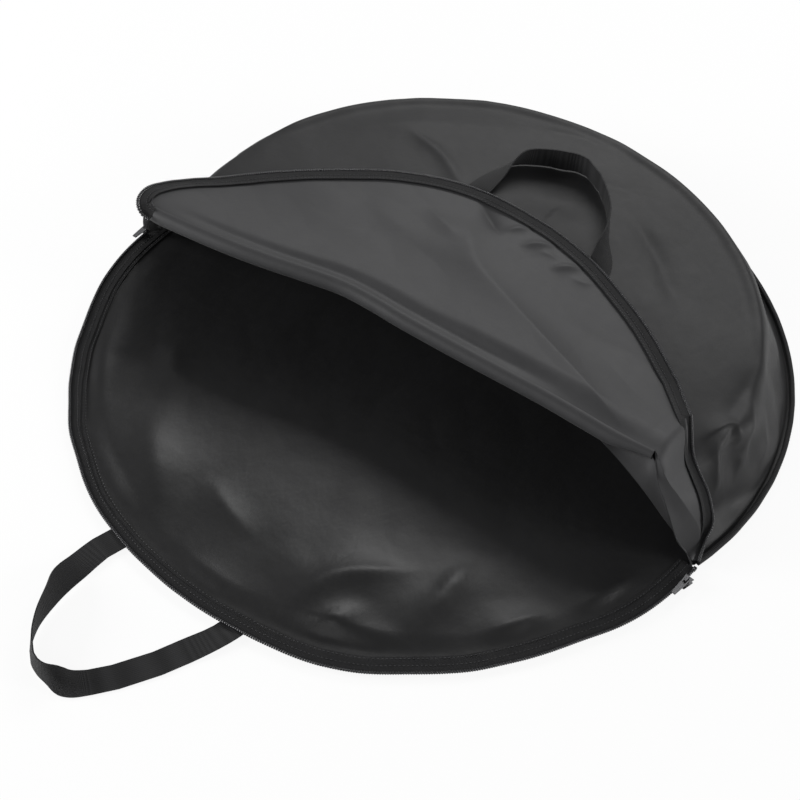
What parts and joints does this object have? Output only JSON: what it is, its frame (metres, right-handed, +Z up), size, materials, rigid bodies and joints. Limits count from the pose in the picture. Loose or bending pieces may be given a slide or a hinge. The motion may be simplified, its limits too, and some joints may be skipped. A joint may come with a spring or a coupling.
{
  "type": "bike wheel bag",
  "caption": "Round cloth bag for one bicycle wheel, its zip open and its front flap folded back, with webbing carry handles.",
  "frame": {"origin": "on the floor under the centre of the circle that the zip runs along", "axes": "+Z up, +Y towards the closed half, so the mouth opens towards -Y and +X is to its right"},
  "size_m": [0.749, 0.966, 0.1119],
  "materials": {
    "bag_cloth": "black coated polyester with a soft sheen",
    "lining": "black polyester, inner face",
    "zip_tape": "black woven tape",
    "zip_teeth": "black nylon coil",
    "webbing": "black polypropylene webbing",
    "zip_metal": "nickel-plated zinc, dulled"
  },
  "bodies": {
    "bag": {"back_panel": "lining", "front_panel": "bag_cloth", "closed_seam_binding": "zip_tape", "back_rim_binding": "zip_tape", "back_zip_tape": "zip_tape", "back_zip_teeth": "zip_teeth", "left_zip_stop": "zip_metal", "right_zip_stop": "zip_metal", "back_handle_left_tail": "webbing", "back_handle_right_tail": "webbing"},
    "flap": {"flap_panel": "bag_cloth"},
    "flap_edge": {"flap_border": "bag_cloth", "flap_zip_tape": "zip_tape", "flap_zip_teeth": "zip_teeth", "front_handle_left_tail": "webbing", "front_handle_right_tail": "webbing"},
    "front_handle": {"front_handle_loop": "webbing"},
    "back_handle": {"back_handle_loop": "webbing"},
    "left_slider": {"left_slider": "zip_metal"},
    "right_slider": {"right_slider": "zip_metal"},
    "left_pull": {"left_slider_pull": "zip_metal"},
    "right_pull": {"right_slider_pull": "zip_metal"}
  },
  "joints": [
    {"name": "flap_turn", "type": "hinge", "parent": "bag", "child": "flap", "pos_m": [0, -0.027, 0.104], "axis": [0.989, 0.1478, 0], "range_deg": [0, 194]},
    {"name": "flap_spread", "type": "slide", "parent": "flap", "child": "flap_edge", "axis": [-0.1477, 0.9881, 0.0436], "range_m": [0, 0.085]},
    {"name": "front_handle_swing", "type": "hinge", "parent": "flap_edge", "child": "front_handle", "pos_m": [-0.00259, 0.22033, 0.09851], "axis": [-0.989, -0.1478, 0], "range_deg": [-110, 0]},
    {"name": "back_handle_swing", "type": "hinge", "parent": "bag", "child": "back_handle", "pos_m": [-0.01, -0.3725, 0.00195], "axis": [-1, 0, 0], "range_deg": [0, 110]},
    {"name": "left_slider_run", "type": "hinge", "parent": "bag", "child": "left_slider", "pos_m": [0, 0, 0.0055], "axis": [0, 0, 1], "range_deg": [0, 82]},
    {"name": "right_slider_run", "type": "hinge", "parent": "bag", "child": "right_slider", "pos_m": [0, 0, 0.0055], "axis": [0, 0, 1], "range_deg": [-82, 0]},
    {"name": "left_pull_swing", "type": "hinge", "parent": "left_slider", "child": "left_pull", "pos_m": [-0.36611, -0.0256, 0.01], "axis": [-0.9976, -0.0698, 0], "range_deg": [0, 165]},
    {"name": "right_pull_swing", "type": "hinge", "parent": "right_slider", "child": "right_pull", "pos_m": [0.36611, -0.0256, 0.01], "axis": [-0.9976, 0.0698, 0], "range_deg": [0, 165]}
  ],
  "couplings": [
    {"joint": "flap_spread", "follows": "flap_turn", "m_per_rad": 0.0251}
  ]
}
